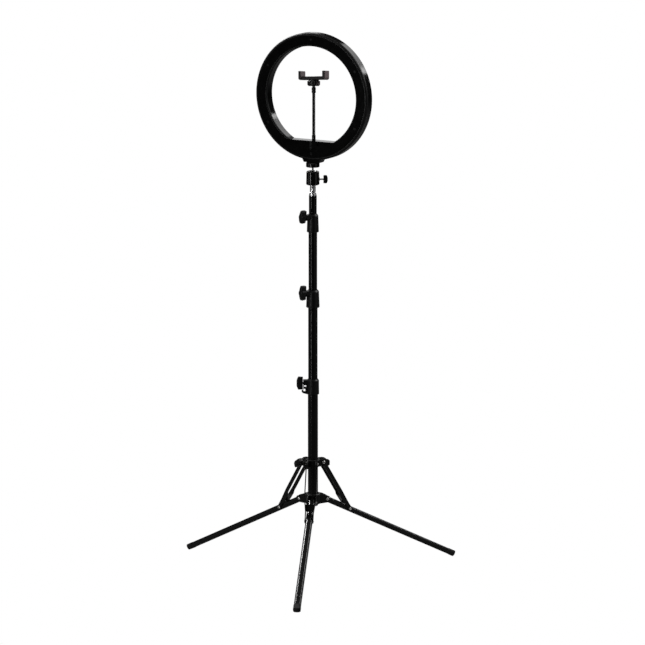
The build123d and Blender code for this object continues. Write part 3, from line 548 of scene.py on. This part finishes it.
# over one turn a screw's end tapers towards the first share of its radius, and starts the second into it
LEAD_RADIUS, LEAD_START = 0.86, 0.4


def threaded_rod(low, high, radius, pitch, depth):
    """The rings of a screw shank along +X with a real helical thread."""
    rows = round((high - low) / (pitch / THREAD_ROWS))
    core = THREAD_CORE * radius
    rings = [[(low, core * math.cos(2 * math.pi * n / THREAD_SIDES),
               core * math.sin(2 * math.pi * n / THREAD_SIDES)) for n in range(THREAD_SIDES)]]
    for row in range(rows + 1):
        x = low + (high - low) * row / rows
        lead = min(1.0, (x - low) / pitch + LEAD_START)
        grown = LEAD_RADIUS + (1 - LEAD_RADIUS) * lead
        ring = []
        for side in range(THREAD_SIDES):
            angle = 2 * math.pi * side / THREAD_SIDES
            phase = (x / pitch - angle / (2 * math.pi)) % 1.0
            crest = 1 - abs(2 * phase - 1)
            r = (radius - depth * (1 - min(1.0, THREAD_LAND * crest))) * grown
            ring.append((x, r * math.cos(angle), r * math.sin(angle)))
        rings.append(ring)
    return rings


def screw_on_hinge(name, joint, body, node, pitch, depth, material, slot):
    """The threaded shank of a knob, in place of its plain solid."""
    local, to_place = seen_from(joint, node)
    low, high = min(p.x for p in local), max(p.x for p in local)
    radius = max(p.yz.length for p in local)
    rings = [placed(ring, to_place) for ring in threaded_rod(low, high, radius, pitch, depth)]
    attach(piece(name, *skin(rings), material, slot, (node,)), body)


# ---------------------------------------------------------------- rivets
RIVET_SIDES = 36
RIVET_R, RIVET_HEAD_R, RIVET_EYE_R = 2.0 * MM, 3.1 * MM, 1.1 * MM
RIVET_HEAD, RIVET_EYE_DEPTH = 1.0 * MM, 2.0 * MM
RIVET_APART = 2.2 * RIVET_HEAD_R  # points this near across the hinge belong to one rivet
POINT_R = 0.01 * MM  # a rivet's end at its axis
# radius and height along the round head, as shares of the head's own
RIVET_DOME = [(1.0, 0.0), (0.985, 0.12), (0.93, 0.26), (0.85, 0.42), (0.76, 0.57), (0.67, 0.7),
              (0.58, 0.82), (0.5, 0.92), (0.44, 0.96), (0.39, 0.93), (0.355, 0.8)]


def along_hinge(node, joint):
    """Sorts a node's points, in a hinge's frame, by the line along the hinge that they lie round."""
    local, to_place = seen_from(joint, node)
    lines = []
    for point in local:
        for line in lines:
            if (line[0].yz - point.yz).length < RIVET_APART:
                line.append(point)
                break
        else:
            lines.append([point])
    return lines, to_place


def rivet_end(inner, outer, centre, matrix):
    """One end of a rivet along X: its shank from inner, and a round hollow head that ends at outer."""
    way = 1 if outer > inner else -1
    base = outer - way * RIVET_HEAD
    profile = [(POINT_R, inner), (RIVET_R, inner), (RIVET_R, base)]
    profile += [(RIVET_HEAD_R * wide, base + way * RIVET_HEAD * tall) for wide, tall in RIVET_DOME]
    bottom = outer - way * RIVET_EYE_DEPTH
    profile += [(RIVET_EYE_R, bottom), (POINT_R, bottom)]
    angles = [way * 2 * math.pi * n / RIVET_SIDES for n in range(RIVET_SIDES)]
    rings = []
    for radius, x in profile:
        rings.append(placed([(x, centre.x + radius * math.cos(a), centre.y + radius * math.sin(a))
                             for a in angles], matrix))
    return skin(rings)


def round_rivets(node, body, joints, material):
    """Rivets with round hollow heads, in place of a node's plain ones.

    One hinge gives the way they all lie. With several hinges, each has one rivet, on its own line.
    """
    points, faces = [], []
    for joint in joints:
        lines, matrix = along_hinge(node, joint)
        for line in lines:
            if len(joints) > 1 and line[0].yz.length > 2 * RIVET_HEAD_R:
                continue  # it belongs to another hinge
            centre = sum((p.yz for p in line), Vector((0, 0))) / len(line)
            middle = (min(p.x for p in line) + max(p.x for p in line)) / 2
            for way in (-1, 1):
                side = [way * (p.x - middle) for p in line if way * (p.x - middle) > 0]
                # a shank right through has no points nearer the middle than its head's
                whole = min(side) > max(side) - RIVET_EYE_DEPTH - 0.05 * MM
                inner = middle if whole else middle + way * min(side)
                made = rivet_end(inner, middle + way * max(side), centre, matrix)
                faces += [tuple(len(points) + n for n in face) for face in made[1]]
                points += made[0]
    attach(piece(node + "_round", points, faces, material, "rivet", (node,)), body)


# ---------------------------------------------------------------- the object
LEGS = ("a", "b", "c")
KNOB_THREAD = (0.8 * MM, 0.42 * MM)  # pitch and depth
BALL_KNOB_THREAD = (0.7 * MM, 0.36 * MM)


def cover(material, *nodes):
    """Gives CAD nodes a better material."""
    for node in nodes:
        for slot in NODES[node].material_slots:
            slot.material = material


def cover_plain_pieces(coat, nylon, zinc, oxide):
    """The pieces whose CAD shape is the visible one. The four materials serve other pieces too."""
    cover(anodised_tube(), "base_tube", "lower_tube", "middle_tube", "top_tube")
    cover(coat, *("leg_" + k for k in LEGS), *("strut_" + k for k in LEGS))
    cover(nylon, "base_plug", "base_collar", "lower_collar", "upper_collar", "lower_spider", "upper_spider")
    cover(glide_acetal(), "lower_glide", "middle_glide", "top_glide")
    cover(polished_metal("turned_chrome", (0.9, 0.9, 0.91), 0.22, 0.28), "stud")
    cover(soft_rubber(), *("foot_cap_" + k for k in LEGS), "platform_pad")
    cover(grip_rubber(), "fixed_jaw_pad", "sliding_jaw_pad")
    cover(anodised_head(), "ball_housing", "ball_platform")
    cover(housing_plastic(), "ring_housing", "sill_cover", "power_socket")
    cover(milky_diffuser(), "diffuser")
    cover(white_board(), "light_board")
    cover(phosphor(), "lights")
    cover(zinc, "camera_screw")
    cover(oxide, "housing_screws")
    cover(polished_metal("turned_brass", (0.78, 0.58, 0.26), 0.2, 0.34, "Z"), "mount_insert")
    cover(holder_plastic_painted_light(), "holder_body", "sliding_jaw", "lock_nut", "holder_ball")


def make_knob(name, nylon, metal, thread, slot):
    """A knob's wings and its threaded screw."""
    knob, joint = name + "_knob", name + "_knob_turn"
    wing_knob(name + "_wing", joint, knob, knob, nylon, "moulded_black")
    screw_on_hinge(name + "_thread", joint, knob, knob + "_screw", *thread, metal, slot)


def make_object():
    """Better materials for the CAD shapes, and finer pieces where the CAD is too plain."""
    coat, nylon, oxide = powder_coat(), moulded_nylon(), black_oxide()
    zinc = polished_metal("bright_zinc", (0.80, 0.80, 0.81), 0.12, 0.26)
    nickel = polished_metal("bright_nickel", (0.93, 0.92, 0.9), 0.42, 0.5)
    cover_plain_pieces(coat, nylon, zinc, oxide)
    make_gooseneck(coat)
    round_rivets("leg_pivot_rivets", "stand_base", ["leg_" + k + "_fold" for k in LEGS], nickel)
    for k in LEGS:
        round_rivets("strut_rivets_" + k, "strut_" + k, ["leg_" + k + "_fold"], nickel)
    for name in ("base", "lower", "upper", "spider"):
        make_knob(name, nylon, zinc, KNOB_THREAD, "bright_screw")
    make_knob("ball", nylon, oxide, BALL_KNOB_THREAD, "black_screw")


make_camera()
make_floor()
make_light()
make_object()
